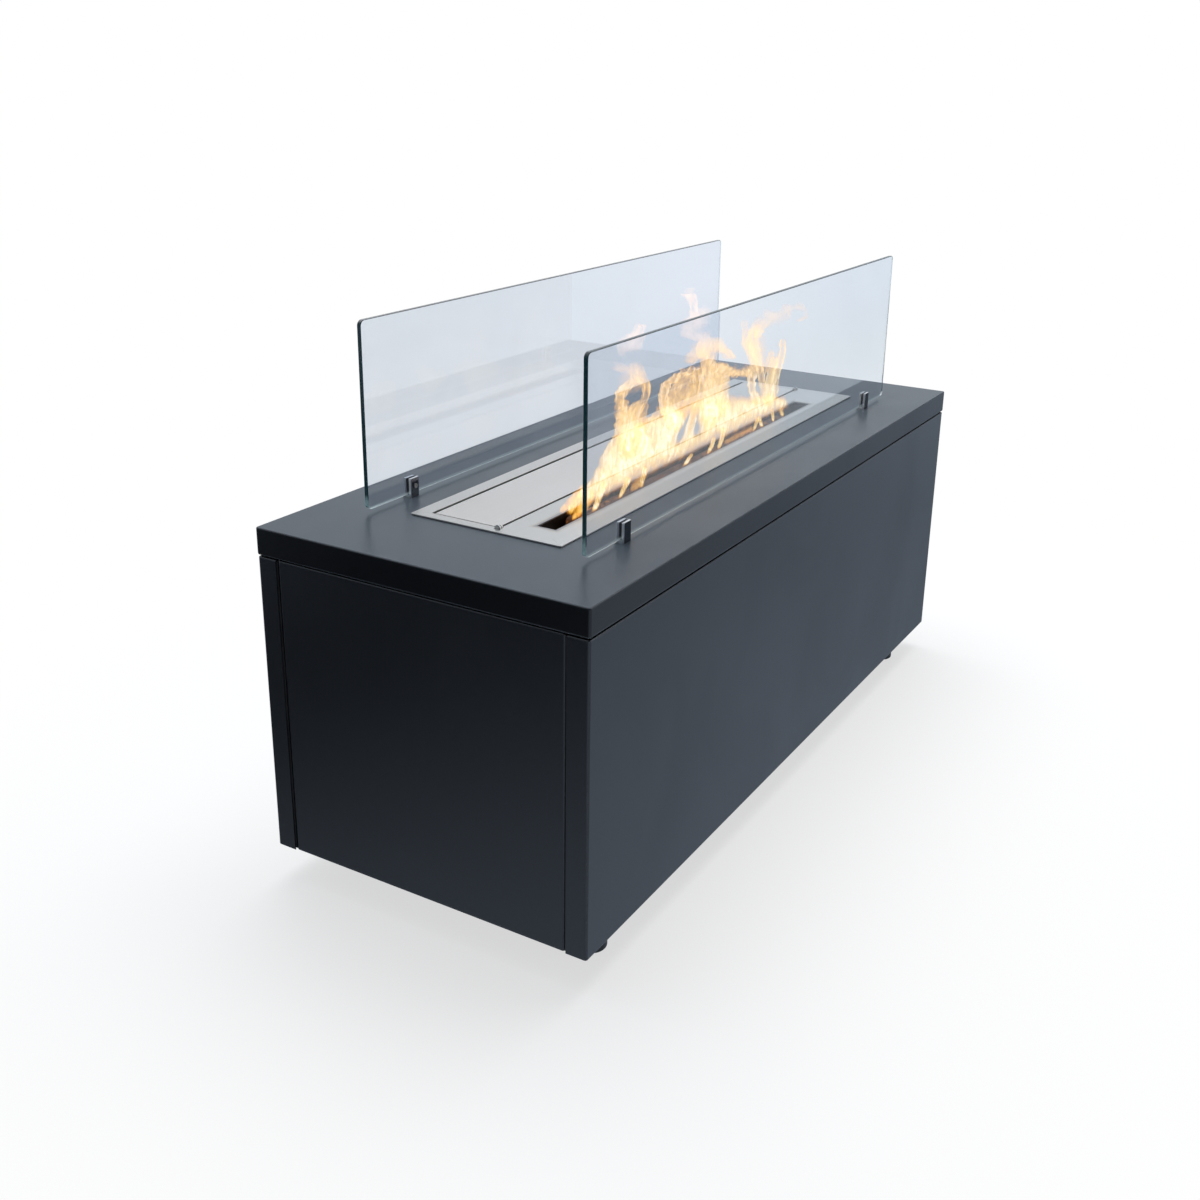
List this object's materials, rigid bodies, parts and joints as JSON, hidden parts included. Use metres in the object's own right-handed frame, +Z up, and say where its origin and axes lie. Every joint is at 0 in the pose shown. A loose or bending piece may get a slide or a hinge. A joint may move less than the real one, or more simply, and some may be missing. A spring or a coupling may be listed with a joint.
{
  "type": "bioethanol fireplace",
  "caption": "Free-standing bioethanol fireplace: a long graphite housing with a lift-out steel burner under a flip-over lid, between two upright glass panes held in chrome clips.",
  "frame": {"origin": "on the floor, under the middle of the housing's length and width", "axes": "+X along the length, +Y from the flame-slot side to the lid side, across the width, +Z up; the flame slot lies nearer the front, at -Y"},
  "size_m": [1, 0.4, 0.614],
  "materials": {
    "powder_coat": "satin graphite powder coat",
    "inner_steel": "matt black heat-resistant paint",
    "zinc_steel": "bright zinc plate",
    "burner_steel": "fine brushed stainless",
    "lid_steel": "fine brushed stainless",
    "clip_chrome": "polished chrome plate",
    "clear_glass": "clear toughened float glass with polished edges",
    "liner_rubber": "black rubber",
    "seal": "black heat-resistant seal",
    "foot_black": "moulded black",
    "wool": "loose ceramic fibre",
    "scorched_wick": "scorched fibre, glowing at the flame",
    "flame": "luminous flame"
  },
  "bodies": {
    "housing": {"top_cover": "powder_coat", "front_panel": "powder_coat", "back_panel": "powder_coat", "end_panel_left": "powder_coat", "end_panel_right": "powder_coat", "base_plate": "inner_steel", "burner_well": "inner_steel", "support_rail_left": "inner_steel", "support_rail_right": "inner_steel", "corner_post_front_left": "inner_steel", "corner_post_front_right": "inner_steel", "corner_post_back_left": "inner_steel", "corner_post_back_right": "inner_steel", "cover_studs": "zinc_steel", "cover_nuts": "zinc_steel", "rail_rivets": "zinc_steel", "base_screws": "zinc_steel", "base_nuts": "zinc_steel", "foot_inserts": "zinc_steel", "foot_nuts": "zinc_steel", "clip_bolts": "zinc_steel", "clip_set_screws": "clip_chrome", "glass_pads": "liner_rubber", "glass_clip_front_left": "clip_chrome", "glass_clip_front_right": "clip_chrome", "glass_clip_back_left": "clip_chrome", "glass_clip_back_right": "clip_chrome"},
    "burner": {"rim_gasket": "seal", "burner_rim": "burner_steel", "flame_channel": "burner_steel", "fuel_tank": "burner_steel", "ceramic_wool": "wool", "wick_roll": "scorched_wick", "lid_trough": "burner_steel", "lid_rest_bars": "burner_steel", "hinge_lugs": "burner_steel"},
    "lid": {"shutter_lid": "lid_steel", "hinge_pins": "burner_steel"},
    "glass_front": {"glass_pane_front": "clear_glass"},
    "glass_back": {"glass_pane_back": "clear_glass"},
    "foot_front_left": {"foot_pad_front_left": "foot_black", "foot_stem_front_left": "zinc_steel"},
    "foot_front_right": {"foot_pad_front_right": "foot_black", "foot_stem_front_right": "zinc_steel"},
    "foot_back_left": {"foot_pad_back_left": "foot_black", "foot_stem_back_left": "zinc_steel"},
    "foot_back_right": {"foot_pad_back_right": "foot_black", "foot_stem_back_right": "zinc_steel"}
  },
  "joints": [
    {"name": "burner_lift", "type": "slide", "parent": "housing", "child": "burner", "axis": [0, 0, 1], "range_m": [0, 0.085]},
    {"name": "lid_flip", "type": "hinge", "parent": "burner", "child": "lid", "pos_m": [0, -0.011, 0.4123], "axis": [1, 0, 0], "range_deg": [0, 180]},
    {"name": "glass_front_lift", "type": "slide", "parent": "housing", "child": "glass_front", "axis": [0, 0, 1], "range_m": [0, 0.02]},
    {"name": "glass_back_lift", "type": "slide", "parent": "housing", "child": "glass_back", "axis": [0, 0, 1], "range_m": [0, 0.02]},
    {"name": "foot_front_left_level", "type": "slide", "parent": "housing", "child": "foot_front_left", "axis": [0, 0, -1], "range_m": [-0.012, 0.02]},
    {"name": "foot_front_right_level", "type": "slide", "parent": "housing", "child": "foot_front_right", "axis": [0, 0, -1], "range_m": [-0.012, 0.02]},
    {"name": "foot_back_left_level", "type": "slide", "parent": "housing", "child": "foot_back_left", "axis": [0, 0, -1], "range_m": [-0.012, 0.02]},
    {"name": "foot_back_right_level", "type": "slide", "parent": "housing", "child": "foot_back_right", "axis": [0, 0, -1], "range_m": [-0.012, 0.02]}
  ]
}
